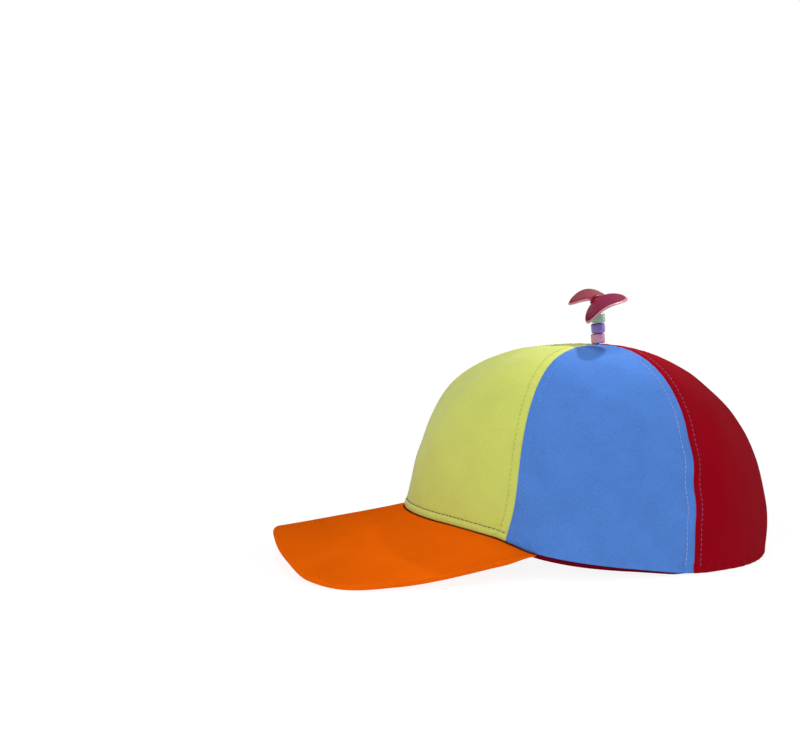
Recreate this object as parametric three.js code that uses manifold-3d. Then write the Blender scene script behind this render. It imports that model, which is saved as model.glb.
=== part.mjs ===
// A cloth propeller cap: five crown panels, a curved brim, an inner band, and a propeller on a beaded pin.
// Millimetres, +Z up. The brim points along -Y and the wearer's left is +X.
// The cap stands on z = 0, and the origin is under the middle of its box.
import * as THREE from "three";
import { mergeVertices } from "three/addons/utils/BufferGeometryUtils.js";
import Module from "manifold-3d";

const { degToRad, radToDeg, lerp, clamp } = THREE.MathUtils;

// Fits
const GAP = 0.3; // between pieces that touch on the real cap

// Crown: its rim is an oval that fits a 58 cm head, and its walls close on one point at the top
const CROWN_LENGTH = 208;
const CROWN_WIDTH = 161;
const CROWN_HEIGHT = 119.5;
const TOP_SETBACK = 8.2; // from the middle of the rim to the top, toward the back
const FRONT_LEAN = 0.105; // share of the radius by which the front leans in
const BACK_SWELL = 0.1; // share of the radius by which the back swells out
const BACK_SQUARENESS = 2.14; // power of the rim's back half: 2 is an ellipse
const CLOTH = 1.6;
const CLOTH_ROUGHNESS = 0.9;
const TOP_HOLE_RADIUS = 2.5;
const PANEL_ROWS = 12;
const FRONT_COLUMNS = 24;
const SIDE_COLUMNS = 12;
const BACK_COLUMNS = 15;

// The crown's wall from the front (0 degrees) to the back (180 degrees), the same on both sides.
// rim is the height of its lower edge. fullness is the power of its curve: 2 is round and 3 is boxy.
const CROWN_SECTIONS = [
  { angle: 0, rim: 27, fullness: 2.5 },
  { angle: 30, rim: 25.2, fullness: 2.92 },
  { angle: 50, rim: 20.7, fullness: 3.15 },
  { angle: 65, rim: 12.3, fullness: 3.08 },
  { angle: 90, rim: 5.4, fullness: 2.9 },
  { angle: 118, rim: 0, fullness: 2.67 },
  { angle: 150, rim: 0, fullness: 2.15 },
  { angle: 180, rim: 0, fullness: 2.05 },
];

// Seams: the angle at the rim, the kick just above the rim, the bow halfway up, and the drift at the top,
// in degrees toward the back
const FRONT_SEAM = { angle: 54.5, kick: 2.7, bow: 1, drift: 0.4 };
const BACK_SEAM = { angle: 111, kick: 0, bow: 1.5, drift: 0.1 };
const MIDDLE_SEAM = { angle: 180, kick: 0, bow: 0, drift: 0 };
const KICK_POWER = 30; // how soon the kick is over

// Panels run from one seam to the next. Side 1 is the wearer's left and side -1 the wearer's right.
const YELLOW = 0xc3ca63;
const BLUE = 0x5487d3;
const RED = 0x9c0f26;
const PANELS = [
  { name: "panel_front", color: YELLOW, columns: FRONT_COLUMNS, from: [FRONT_SEAM, -1], to: [FRONT_SEAM, 1] },
  { name: "panel_side_left", color: BLUE, columns: SIDE_COLUMNS, from: [FRONT_SEAM, 1], to: [BACK_SEAM, 1] },
  { name: "panel_side_right", color: BLUE, columns: SIDE_COLUMNS, from: [BACK_SEAM, -1], to: [FRONT_SEAM, -1] },
  { name: "panel_back_left", color: RED, columns: BACK_COLUMNS, from: [BACK_SEAM, 1], to: [MIDDLE_SEAM, 1] },
  { name: "panel_back_right", color: RED, columns: BACK_COLUMNS, from: [MIDDLE_SEAM, -1], to: [BACK_SEAM, -1] },
];

// Brim: it reaches past the front seams by a few panel columns, and its root lies under the crown's wall
const ORANGE = 0xdb5b07;
const BRIM_LENGTH = 75;
const BRIM_WIDTH = 185;
const BRIM_WIDEST = 124; // from the middle of the rim to the brim's widest place
const BRIM_SQUARENESS = 2.55; // power of the outline's front curve
const BRIM_FRONT_SHARE = 0.8; // of the edge from the middle to a corner
const BRIM_SIDE_CURVE = 1.6;
const BRIM_THICKNESS = 3;
const BRIM_CORNER_COLUMNS = 2; // panel columns past a front seam
const BRIM_CORNER = lerp(FRONT_SEAM.angle, BACK_SEAM.angle, BRIM_CORNER_COLUMNS / SIDE_COLUMNS);
const BRIM_CORNER_WIDTH = 2;
const BRIM_ROWS = 7;
const BRIM_COLUMNS = FRONT_COLUMNS + 2 * BRIM_CORNER_COLUMNS;

// Height of the brim's lower edge, from the middle of the front (share 0) to a corner (share 1)
const BRIM_EDGE = [
  { share: 0, height: 10.3 },
  { share: 0.2, height: 7.5 },
  { share: 0.4, height: 1.5 },
  { share: 0.6, height: 0 },
  { share: 0.8, height: 1.5 },
  { share: 1, height: 9.6 },
];

// Band inside the rim: its lower edge hangs just below the rim, but clear of the ground
const DARK_RED = 0x6a0a18;
const BAND_THICKNESS = 1.2;
const BAND_INSET = CLOTH + 0.6;
const BAND_DROP = 2;
const BAND_CLEARANCE = 0.4;
const BAND_RISES = [0, 10, 20, 30]; // heights of its rows above the rim
const BAND_COLUMNS = 72;

// Pin: a disc under the cloth, a thin shaft that bends where the propeller leans, and a head over the propeller
const PIN_RADIUS = 0.6;
const PIN_DISC_RADIUS = 5;
const PIN_DISC_THICKNESS = 1;
const PIN_HEAD_RADIUS = 1.9;
const PIN_HEAD_FLAT_RADIUS = 1.3;
const PIN_HEAD_HEIGHT = 1.2;
const PIN_ROUGHNESS = 0.4;
const PIN_SIDES = 20;

// Beads: they sit loosely on the pin, tipped up toward the back
const BEAD_RADIUS = 4;
const BEAD_HEIGHT = 5.6;
const BEAD_HOLE_RADIUS = 1.5;
const BEAD_ROUNDING = 1;
const BEAD_TIP = 5; // degrees
const BEAD_ROUGHNESS = 0.3;
const BEAD_SIDES = 24;
const BEADS = [
  { name: "bead_pink", color: 0xd095b0 },
  { name: "bead_purple", color: 0x8f70c4 },
  { name: "bead_green", color: 0x93b89e },
];

// Propeller: it leans on the pin's bent end, and its two blades are wide cupped ovals
const PROPELLER_RED = 0xa02840;
const PROPELLER_ROUGHNESS = 0.25;
const PROPELLER_LEAN = 18.4; // degrees toward the brim
const PROPELLER_TILT = 6.9; // degrees toward the wearer's left
const PROPELLER_TURN = -10; // degrees about its own axis
const PROPELLER_PIVOT = 22.8; // height above the cloth where the pin bends
const BLADE_RISE = 3.3; // from that bend to the blades
const BLADE_REACH = 32.3;
const BLADE_WIDTH = 26.7;
const BLADE_TAPER = 0.11; // share of the width lost from the middle of a blade to its end
const BLADE_OFFSET = 1.5; // of a blade's middle line from the axis
const BLADE_CUP = 5.2; // how far the long edges hang below the middle
const BLADE_PITCH = 14.6; // degrees
const BLADE_THICKNESS = 1.6;
const BLADE_GRID = 12;
const HUB_RADIUS = 3.1;
const HUB_BORE_RADIUS = 1;
const HUB_MOUTH_RADIUS = 2.4; // the bore widens below the bend, where the pin stands upright
const HUB_TOP = 1.3; // above the blades
const HUB_BOTTOM = 6.7; // below the blades
const HUB_SIDES = 32;

const wasm = await Module();
wasm.setup();

// The value at a place in one column of a table: a smooth curve that never overshoots, level at both ends
function lookUp(table, placeColumn, valueColumn, place) {
  const places = table.map((row) => row[placeColumn]);
  const values = table.map((row) => row[valueColumn]);
  const last = table.length - 1;
  const slope = (i) => (values[i + 1] - values[i]) / (places[i + 1] - places[i]);
  const tangent = (i) => {
    if (i === 0 || i === last) return 0;
    const product = slope(i - 1) * slope(i);
    return product > 0 ? (2 * product) / (slope(i - 1) + slope(i)) : 0;
  };
  let i = 0;
  while (i < last - 1 && place > places[i + 1]) i += 1;
  const width = places[i + 1] - places[i];
  const t = clamp((place - places[i]) / width, 0, 1);
  const bend = t * t * (3 - 2 * t);
  const leave = t * (1 - t) * (1 - t) * width * tangent(i);
  const arrive = t * t * (t - 1) * width * tangent(i + 1);
  return lerp(values[i], values[i + 1], bend) + leave + arrive;
}

// A closed sheet between two grids of points. front(i, j) is its outer face and back(i, j) its inner face.
// Seen from outside, i counts rows upward and j counts columns to the right.
// A ring joins its last column to its first.
function sheet(rows, columns, front, back, ring = false) {
  const width = ring ? columns : columns + 1;
  const size = (rows + 1) * width;
  const positions = [];
  for (const face of [front, back]) {
    for (let i = 0; i <= rows; i += 1) {
      for (let j = 0; j < width; j += 1) positions.push(...face(i, j).toArray());
    }
  }
  const index = [];
  const at = (i, j) => i * width + (j % width);
  const quad = (a, b, c, d) => index.push(a, b, c, a, c, d);
  for (let i = 0; i < rows; i += 1) {
    for (let j = 0; j < columns; j += 1) {
      const corners = [at(i, j), at(i, j + 1), at(i + 1, j + 1), at(i + 1, j)];
      quad(...corners);
      quad(...corners.map((corner) => corner + size).reverse());
    }
  }
  const border = (a, b) => quad(b, a, a + size, b + size);
  for (let j = 0; j < columns; j += 1) {
    border(at(0, j), at(0, j + 1));
    border(at(rows, j + 1), at(rows, j));
  }
  for (let i = 0; i < rows && !ring; i += 1) {
    border(at(i, columns), at(i + 1, columns));
    border(at(i + 1, 0), at(i, 0));
  }
  const geometry = new THREE.BufferGeometry();
  geometry.setAttribute("position", new THREE.Float32BufferAttribute(positions, 3));
  geometry.setIndex(index);
  return geometry;
}

// A turned solid about the Z axis from a profile of [radius, height] pairs
function turned(profile, sides) {
  const points = profile.map(([radius, height]) => new THREE.Vector2(radius, height));
  return new THREE.LatheGeometry(points, sides).rotateX(Math.PI / 2);
}

function asSolid(geometry) {
  const bare = geometry.clone();
  bare.deleteAttribute("normal");
  bare.deleteAttribute("uv");
  const merged = mergeVertices(bare, 1e-4);
  const vertProperties = new Float32Array(merged.getAttribute("position").array);
  const triVerts = new Uint32Array(merged.getIndex().array);
  return new wasm.Manifold(new wasm.Mesh({ numProp: 3, vertProperties, triVerts }));
}

function asGeometry(solid) {
  const { vertProperties, triVerts } = solid.getMesh();
  const geometry = new THREE.BufferGeometry();
  geometry.setAttribute("position", new THREE.Float32BufferAttribute(vertProperties, 3));
  geometry.setIndex(new THREE.Uint32BufferAttribute(triVerts, 1));
  return geometry;
}

function piece(name, geometry, color, roughness) {
  geometry.computeVertexNormals();
  const mesh = new THREE.Mesh(geometry, new THREE.MeshStandardMaterial({ color, roughness, metalness: 0 }));
  mesh.name = name;
  return mesh;
}

const rimHeight = (angle) => lookUp(CROWN_SECTIONS, "angle", "rim", Math.abs(angle));
const fullnessAt = (angle) => lookUp(CROWN_SECTIONS, "angle", "fullness", Math.abs(angle));

// A point on the rim. inset moves it inward from the outer face of the cloth.
function rimPoint(angle, inset) {
  const sideways = Math.sin(degToRad(angle));
  const forward = Math.cos(degToRad(angle));
  const power = forward < 0 ? 2 / BACK_SQUARENESS : 1;
  const x = (CROWN_WIDTH / 2 - inset) * Math.sign(sideways) * Math.abs(sideways) ** power;
  const y = -(CROWN_LENGTH / 2 - inset) * Math.sign(forward) * Math.abs(forward) ** power;
  return new THREE.Vector3(x, y, rimHeight(angle));
}

// A point on the crown. rise runs from 0 at the rim to 1 at the top.
function crownPoint(angle, rise, inset) {
  const rim = rimPoint(angle, inset);
  const power = 2 / fullnessAt(angle);
  const height = Math.sin((rise * Math.PI) / 2) ** power;
  const forward = Math.cos(degToRad(angle));
  const lean = (forward > 0 ? FRONT_LEAN : -BACK_SWELL) * forward * forward * 2 * height * (1 - height);
  const radius = Math.cos((rise * Math.PI) / 2) ** power - lean;
  return new THREE.Vector3(
    rim.x * radius,
    lerp(TOP_SETBACK, rim.y, radius),
    lerp(rim.z, CROWN_HEIGHT - inset, height),
  );
}

const distanceFromPin = (point) => Math.hypot(point.x, point.y - TOP_SETBACK);

// The rise at which the wall reaches the hole for the pin
function riseAtHole(angle) {
  const share = TOP_HOLE_RADIUS / distanceFromPin(rimPoint(angle, 0));
  return (Math.acos(share ** (fullnessAt(angle) / 2)) * 2) / Math.PI;
}

// The rise at which the wall is a given height above its rim
function riseAtHeight(angle, height, inset) {
  const share = height / (CROWN_HEIGHT - inset - rimHeight(angle));
  return (Math.asin(share ** (fullnessAt(angle) / 2)) * 2) / Math.PI;
}

function seamAngle([seam, side], share) {
  const kick = seam.kick * (1 - (1 - share) ** KICK_POWER);
  return side * (seam.angle + kick + seam.bow * Math.sin(Math.PI * share) + seam.drift * share * share);
}

function panel({ name, color, columns, from, to }) {
  const point = (i, j, inset) => {
    const share = i / PANEL_ROWS;
    const first = seamAngle(from, share);
    const last = seamAngle(to, share);
    const reach = distanceFromPin(crownPoint(first, share * riseAtHole(first), 0));
    const clear = radToDeg(GAP / 2 / reach);
    const angle = lerp(first + clear, last - clear, j / columns);
    return crownPoint(angle, share * riseAtHole(angle), inset);
  };
  const outer = (i, j) => point(i, j, 0);
  const inner = (i, j) => point(i, j, CLOTH);
  return piece(name, sheet(PANEL_ROWS, columns, outer, inner), color, CLOTH_ROUGHNESS);
}

// A point on the brim's lower outer edge. share runs from -1 at the right corner to 1 at the left corner.
function brimEdge(share) {
  const side = Math.sign(share);
  const along = Math.abs(share);
  const corner = rimPoint(BRIM_CORNER, -BRIM_CORNER_WIDTH);
  const widest = BRIM_WIDTH / 2;
  const height = lookUp(BRIM_EDGE, "share", "height", along);
  if (along <= BRIM_FRONT_SHARE) {
    const turn = ((along / BRIM_FRONT_SHARE) * Math.PI) / 2;
    const x = widest * Math.sin(turn) ** (2 / BRIM_SQUARENESS);
    const ahead = CROWN_LENGTH / 2 + BRIM_LENGTH - BRIM_WIDEST;
    const y = -BRIM_WIDEST - ahead * Math.cos(turn) ** (2 / BRIM_SQUARENESS);
    return new THREE.Vector3(side * x, y, height);
  }
  const back = (along - BRIM_FRONT_SHARE) / (1 - BRIM_FRONT_SHARE);
  const x = lerp(widest, corner.x, back ** BRIM_SIDE_CURVE);
  return new THREE.Vector3(side * x, lerp(-BRIM_WIDEST, corner.y, back), height);
}

// The brim's columns stand under the panels' columns
function brimAngle(column) {
  const fromMiddle = column - BRIM_COLUMNS / 2;
  const pastSeam = Math.abs(fromMiddle) - FRONT_COLUMNS / 2;
  if (pastSeam <= 0) return (FRONT_SEAM.angle * fromMiddle) / (FRONT_COLUMNS / 2);
  return Math.sign(fromMiddle) * lerp(FRONT_SEAM.angle, BRIM_CORNER, pastSeam / BRIM_CORNER_COLUMNS);
}

function brim() {
  const point = (i, j, lift) => {
    const angle = brimAngle(j);
    const tucked = i > BRIM_ROWS;
    const root = rimPoint(angle, tucked ? CLOTH : 0);
    root.z -= GAP + BRIM_THICKNESS;
    const edge = brimEdge(angle / BRIM_CORNER);
    const place = tucked ? root : edge.lerp(root, i / BRIM_ROWS);
    place.z += lift;
    return place;
  };
  const top = (i, j) => point(i, j, BRIM_THICKNESS);
  const bottom = (i, j) => point(i, j, 0);
  return piece("brim", sheet(BRIM_ROWS + 1, BRIM_COLUMNS, top, bottom), ORANGE, CLOTH_ROUGHNESS);
}

function sweatband() {
  const point = (i, j, inset) => {
    const angle = lerp(-180, 180, j / BAND_COLUMNS);
    const place = crownPoint(angle, riseAtHeight(angle, BAND_RISES[i], inset), inset);
    if (i === 0) place.z = Math.max(place.z - BAND_DROP, BAND_CLEARANCE);
    return place;
  };
  const outer = (i, j) => point(i, j, BAND_INSET);
  const inner = (i, j) => point(i, j, BAND_INSET + BAND_THICKNESS);
  const ring = sheet(BAND_RISES.length - 1, BAND_COLUMNS, outer, inner, true);
  return piece("sweatband", ring, DARK_RED, CLOTH_ROUGHNESS);
}

function cylinder(radius, bottom, top, sides, topRadius = radius) {
  const geometry = new THREE.CylinderGeometry(topRadius, radius, top - bottom, sides);
  return geometry.rotateX(Math.PI / 2).translate(0, 0, (top + bottom) / 2);
}

// The propeller's axis starts at the pin's bend and leans toward the brim and the wearer's left
function leaningGroup() {
  const group = new THREE.Group();
  group.position.z = PROPELLER_PIVOT;
  group.rotation.set(degToRad(PROPELLER_LEAN), degToRad(PROPELLER_TILT), 0, "YXZ");
  group.updateMatrix();
  return group;
}

// The pin stands upright through the top of the crown, and its upper end leans with the propeller.
// Heights are measured from the cloth's outer face.
function post() {
  const discTop = -CLOTH - 2 * GAP;
  const headBottom = BLADE_RISE + HUB_TOP + GAP;
  const headMiddle = headBottom + PIN_HEAD_HEIGHT / 2;
  const headTop = headBottom + PIN_HEAD_HEIGHT;
  const upright = [
    cylinder(PIN_DISC_RADIUS, discTop - PIN_DISC_THICKNESS, discTop, PIN_SIDES),
    cylinder(PIN_RADIUS, discTop, PROPELLER_PIVOT, PIN_SIDES),
    new THREE.SphereGeometry(PIN_RADIUS, PIN_SIDES, PIN_SIDES / 2).translate(0, 0, PROPELLER_PIVOT),
  ];
  const leaning = [
    cylinder(PIN_RADIUS, 0, headBottom, PIN_SIDES),
    cylinder(PIN_HEAD_RADIUS, headBottom, headMiddle, PIN_SIDES),
    cylinder(PIN_HEAD_RADIUS, headMiddle, headTop, PIN_SIDES, PIN_HEAD_FLAT_RADIUS),
  ].map((geometry) => geometry.applyMatrix4(leaningGroup().matrix));
  const whole = [...upright, ...leaning].map(asSolid).reduce((joined, solid) => joined.add(solid));
  return piece("post", asGeometry(whole), PROPELLER_RED, PIN_ROUGHNESS);
}

// A bead is a short tube with a rounded outside
function bead({ name, color }, order) {
  const half = BEAD_HEIGHT / 2;
  const straight = half - BEAD_ROUNDING;
  const shoulder = BEAD_RADIUS - BEAD_ROUNDING;
  const rounded = (end, step) => {
    const turn = (step * Math.PI) / 6;
    const radius = shoulder + BEAD_ROUNDING * Math.cos(turn);
    return [radius, end * (straight + BEAD_ROUNDING * Math.sin(turn))];
  };
  const steps = [0, 1, 2, 3];
  const profile = [
    [BEAD_HOLE_RADIUS, -half],
    ...steps.map((step) => rounded(-1, 3 - step)),
    ...steps.map((step) => rounded(1, step)),
    [BEAD_HOLE_RADIUS, half],
    [BEAD_HOLE_RADIUS, -half],
  ];
  const mesh = piece(name, turned(profile, BEAD_SIDES), color, BEAD_ROUGHNESS);
  const tip = degToRad(BEAD_TIP);
  const lowest = half * Math.cos(tip) + shoulder * Math.sin(tip) + GAP;
  mesh.position.z = lowest + (order * (BEAD_HEIGHT + GAP)) / Math.cos(tip);
  mesh.rotation.x = tip;
  return mesh;
}

// One blade along +X: a round grid stretched to an oval, cupped across its width and pitched about its length.
// It is wider near the hub.
function blade() {
  const point = (i, j, lift) => {
    const u = (2 * j) / BLADE_GRID - 1;
    const v = (2 * i) / BLADE_GRID - 1;
    const along = u * Math.sqrt(1 - (v * v) / 2);
    const across = v * Math.sqrt(1 - (u * u) / 2);
    const place = new THREE.Vector3(
      (BLADE_REACH / 2) * (1 + along),
      (BLADE_WIDTH / 2) * (1 - BLADE_TAPER * along) * across + BLADE_OFFSET,
      lift - BLADE_CUP * across * across,
    );
    return place.applyAxisAngle(new THREE.Vector3(1, 0, 0), degToRad(BLADE_PITCH));
  };
  const top = (i, j) => point(i, j, BLADE_THICKNESS / 2);
  const bottom = (i, j) => point(i, j, -BLADE_THICKNESS / 2);
  return sheet(BLADE_GRID, BLADE_GRID, top, bottom);
}

function propeller() {
  const hub = asSolid(cylinder(HUB_RADIUS, -HUB_BOTTOM, HUB_TOP, HUB_SIDES));
  const bore = asSolid(cylinder(HUB_BORE_RADIUS, -HUB_BOTTOM, 2 * HUB_BOTTOM, HUB_SIDES));
  const mouth = asSolid(cylinder(HUB_MOUTH_RADIUS, -HUB_BOTTOM, -BLADE_RISE, HUB_SIDES, HUB_BORE_RADIUS));
  const near = asSolid(blade());
  const far = asSolid(blade().rotateZ(Math.PI));
  const whole = hub.add(near).add(far).subtract(bore).subtract(mouth);
  const mesh = piece("propeller", asGeometry(whole), PROPELLER_RED, PROPELLER_ROUGHNESS);
  mesh.position.z = BLADE_RISE;
  mesh.rotation.z = degToRad(PROPELLER_TURN);
  return leaningGroup().add(mesh);
}

const topper = new THREE.Group();
topper.position.set(0, TOP_SETBACK, CROWN_HEIGHT);
topper.add(post(), ...BEADS.map(bead), propeller());

const cap = new THREE.Group();
cap.add(...PANELS.map(panel), brim(), sweatband(), topper);
cap.position.y = -new THREE.Box3().setFromObject(cap).getCenter(new THREE.Vector3()).y;

export default cap;
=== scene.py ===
"""Dresses the propeller cap: sewn cloth panels, a curved brim, a band and a propeller on a beaded pin.

Shapes are worked out in millimetres about the middle of the crown's rim, with the brim toward -Y,
the wearer's left toward +X and z = 0 on the ground. place() turns them into metres in the row's frame.
"""
import math

import bpy
import numpy as np
from mathutils import Matrix, Quaternion, Vector, noise


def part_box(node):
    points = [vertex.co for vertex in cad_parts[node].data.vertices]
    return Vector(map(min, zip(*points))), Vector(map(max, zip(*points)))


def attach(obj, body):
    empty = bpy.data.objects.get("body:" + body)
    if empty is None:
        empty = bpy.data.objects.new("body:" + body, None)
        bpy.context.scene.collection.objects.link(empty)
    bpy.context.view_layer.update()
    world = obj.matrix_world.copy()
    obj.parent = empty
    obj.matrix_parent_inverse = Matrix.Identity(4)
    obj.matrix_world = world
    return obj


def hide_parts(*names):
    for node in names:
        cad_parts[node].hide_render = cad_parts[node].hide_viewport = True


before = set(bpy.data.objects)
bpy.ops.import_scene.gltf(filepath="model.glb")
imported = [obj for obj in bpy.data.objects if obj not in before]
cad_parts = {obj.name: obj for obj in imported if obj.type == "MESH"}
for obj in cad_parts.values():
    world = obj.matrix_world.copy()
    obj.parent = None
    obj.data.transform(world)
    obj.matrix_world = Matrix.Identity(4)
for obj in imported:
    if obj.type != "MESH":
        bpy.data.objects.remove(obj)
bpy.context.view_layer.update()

MM = 0.001
GROUND = 0.02  # lowest height of any cloth, just clear of the floor

# Crown
CROWN_LENGTH = 208
CROWN_WIDTH = 161
CROWN_HEIGHT = 119.5
TOP_SETBACK = 8.2  # from the middle of the rim to the top, toward the back
FRONT_LEAN = 0.105  # share of the radius by which the front leans in
BACK_SWELL = 0.1  # share of the radius by which the back swells out
BACK_SQUARENESS = 2.14  # power of the rim's back half: 2 is an ellipse
CLOTH = 1.6
TOP_HOLE_RADIUS = 2.5

# The crown's wall from the front (0 degrees) to the back (180 degrees), the same on both sides
SECTION_ANGLES = (0, 30, 50, 65, 90, 118, 150, 180)
SECTION_RIMS = (27, 25.2, 20.7, 12.3, 5.4, 0, 0, 0)
SECTION_FULLNESS = (2.5, 2.92, 3.15, 3.08, 2.9, 2.67, 2.15, 2.05)

# Seams: the angle at the rim, the kick just above the rim, the bow halfway up and the drift at the top,
# in degrees toward the back. wobble is the sideways waver of a seam that puckers.
FRONT_SEAM = {"angle": 54.5, "kick": 2.7, "bow": 1, "drift": 0.4, "wobble": 0}
BACK_SEAM = {"angle": 111, "kick": 0, "bow": 1.5, "drift": 0.1, "wobble": 0.4}
MIDDLE_SEAM = {"angle": 180, "kick": 0, "bow": 0, "drift": 0, "wobble": 0}
KICK_POWER = 30  # how soon the kick is over
WOBBLE_LENGTH = 27
WOBBLE_ABOVE = (52, 26)  # up the wall from the rim: its middle and its spread

# Sewing
SEAM_LAP = 0.06  # how far a panel's edge runs past the seam line, so that no light comes through
SEAM_DEPTH = 0.45
SEAM_SPREAD = 0.6
ALLOWANCE = 4.5  # width of the doubled cloth beside a seam
ALLOWANCE_PUFF = 0.12
ALLOWANCE_SLOPE = 1  # half the width over which the outer face steps down from it
ALLOWANCE_INSIDE = 0.5
ALLOWANCE_INSIDE_SLOPE = 0.8
STITCH_DEPTH = 0.2  # of the groove that a row of stitches pulls
STITCH_SPREAD = 0.5
HEM_HEIGHT = 4.3  # of the stitch line above the front panel's edge
HEM_PUFF = 0.45
HEM_ROLL = 0.7  # radius of a panel's rolled lower edge
RIM_PUFF = 0.225  # of the lower edge of a panel with no stitched hem
SEWN_WIDTHS = (10, 16)  # a seam's relief comes in over these widths of a panel

# Puckers and small creases. A pair named BESIDE or ABOVE is where they are deepest and how far they spread.
PUCKER_LENGTH = 7.2
PUCKER_HEIGHT = 0.1
PUCKER_BESIDE = (2.5, 3)
SEAM_UNEVENNESS = (0.8, 11)  # of the puckers along a seam: how far they shift, and over what length
RIM_UNEVENNESS = (0.9, 13)
HEM_WAVE = 0.2  # height of the waves along the front panel's hem
RIM_WAVE = 0.35
WAVE_ABOVE = (3, 3)
DRAG_LENGTH = 5.5  # of the small creases where a seam meets the rim
DRAG_HEIGHT = 0.3
DRAG_SLANT = 0.6
DRAG_BESIDE = (8, 6)
DRAG_ABOVE = (5, 4.5)

# Dents and folds of worn cloth
DENT_LENGTH = 34
DENT_HEIGHT = 0.9
SMALL_DENT_LENGTH = 13
SMALL_DENT_HEIGHT = 0.35
SMALL_DENT_SHIFT = (7, 3, 5)  # keeps the small dents from following the broad ones
FOLD_SIZE = (19, 19, 75)  # of the soft upright folds
FOLD_HEIGHT = 1.1
FOLD_START = (2, 20)  # they come in over these distances above the rim
SLACK_ABOVE = (25, 40)
SLACK_LEAST = 0.35
CALM_WIDTH = 9  # from a seam to where the cloth wrinkles freely
CALM_SHARE = 0.2
WRINKLED_WIDTHS = (12, 42)  # wrinkles come in over these widths of a panel

# Stitches
STITCH_PITCH = 2.7
STITCH_RINGS = 7
STITCH_SINK = 0.16  # of a stitch's ends below the cloth
STITCH_ARCH = 0.34  # of its middle above its ends
STITCH_ARCH_POWER = 0.6
THREAD_RADIUS = 0.2
THREAD_SIDES = 6
THREAD_END = 0.55  # share of the radius at a stitch's ends
THREAD_SWELL_POWER = 0.5
TOPSTITCH_END = 9  # how far below the hole for the pin a topstitch ends
HEM_STITCH = 2.65
HEM_STITCH_ENDS = (0.3, 0.2)  # from the seam at each end

# Grid of a panel: distances of its closest columns from a seam and of its lowest rows from the rim
EDGE_COLUMNS = (0, 0.35, 0.8, 1.4, 2.2, 3.1, 3.9, 4.5, 5, 5.5, 6.2, 7.4)
HEM_ROWS = (0, 0.15, 0.35, 0.7, 1.3, 2.1, 2.9, 3.6, 4.0, 4.3, 4.6, 5.1, 5.9, 7)
CELL = 1.5
EDGE_SHARE = 0.42  # most of a narrow row that the close columns beside one seam take
SEAM_PASSES = 4
RIM_SAMPLES = 90
ROW_SAMPLES = 120

# Brim
BRIM_LENGTH = 75
BRIM_WIDTH = 185
BRIM_WIDEST = 124  # from the middle of the rim to the brim's widest place
BRIM_SQUARENESS = 2.55
BRIM_FRONT_SHARE = 0.8
BRIM_SIDE_CURVE = 1.6
BRIM_THICKNESS = 3
BRIM_CORNER = 63.9  # degrees
BRIM_CORNER_WIDTH = 2
BRIM_CORNER_TAPER = 0.05  # share of the edge over which the brim thins to its corner
BRIM_CORNER_THICKNESS = 0.8
BRIM_DROP = 0.3  # from the crown's edge to the brim's upper face
BRIM_TUCK = 1.8  # how far the brim runs in under the crown's edge
BRIM_EDGE_SHARES = (0, 0.2, 0.4, 0.6, 0.8, 1)
BRIM_EDGE_HEIGHTS = (10.3, 7.5, 1.5, 0, 1.5, 9.6)
BRIM_COLUMNS = 150
BRIM_ROWS = 36
BRIM_ROUND_STEPS = 8
BRIM_ROUND_SHARE = 0.4  # most of the brim's reach that its rounded edge takes
BRIM_CROWDING = 0.35  # how far the columns crowd toward the corners
BRIM_WAVE_LENGTH = 45
BRIM_WAVE_HEIGHT = 0.35
BRIM_WAVE_TAPER = 0.2  # share of the edge over which the waves fade to the corner

# Band inside the rim
BAND_THICKNESS = 1.2
BAND_INSET = CLOTH + 0.6
BAND_DROP_FRONT = 2.9  # how far the band hangs below the rim beside the brim
BAND_DROP = 1.3
BAND_DROP_ANGLES = (70, 108)  # degrees between the two drops
BAND_DROP_SHARE = 0.3  # of the band's height that the drop stretches
BAND_CLEARANCE = 0.4
BAND_HEIGHT = 30
BAND_ROWS = 24
BAND_COLUMNS = 240
BAND_PINCH = 0.45  # share of the thickness that each face loses at an edge
BAND_PINCH_WIDTH = 1.2

# Pin, beads and propeller. Heights are measured from the top of the crown.
GAP = 0.3  # between stacked pieces
PIN_RADIUS = 0.6
PIN_DISC_RADIUS = 5
PIN_DISC_THICKNESS = 1
PIN_HEAD_RADIUS = 1.9
PIN_HEAD_HEIGHT = 1.2
PIN_HEAD_EDGE = 0.2
PIN_HEAD_STEPS = 9
PIN_BEND = 1.2  # length over which the pin bends
PIN_BEND_STEPS = 8
PIN_SIDES = 40
BEAD_RADIUS = 4
BEAD_HEIGHT = 5.6
BEAD_HOLE_RADIUS = 1.5
BEAD_ROUNDING = 1
BEAD_LIP = 0.35  # radius of the hole's edge
BEAD_TIP = 5  # degrees
PROPELLER_LEAN = 18.4  # degrees toward the brim
PROPELLER_TILT = 6.9  # degrees toward the wearer's left
PROPELLER_TURN = -10  # degrees
PROPELLER_PIVOT = 22.8  # where the pin bends
BLADE_RISE = 3.3  # from that bend to the blades
BLADE_REACH = 32.3
BLADE_WIDTH = 26.7
BLADE_TAPER = 0.11  # share of the width lost from the middle of a blade to its end
BLADE_OFFSET = 1.5  # of a blade's middle line from the axis
BLADE_CUP = 5.2
BLADE_PITCH = 14.6  # degrees
BLADE_THICKNESS = 1.6
BLADE_SECTORS = 112
BLADE_RINGS = 25
BLADE_RING_POWER = 1.8  # crowds the rings toward the edge
BLADE_EDGE_POWER = 24  # the higher, the later a face turns to the edge
BLADE_BORDER = (0.82, 0.88)  # shares of the way out where the darker border starts
BLADE_EDGE = (0.94, 0.97)  # the same for the pale edge
BLADE_SIDE = (0.1, 0.6)  # shares of the half thickness where the edge gives way to the upper face
BACKLIT_REACH = 12  # from the axis to where the far blade is fully pale: painted light shining through it
HUB_RADIUS = 3.1
HUB_FLARE = 1.2  # where it meets the blades
HUB_BORE_RADIUS = 1
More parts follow.
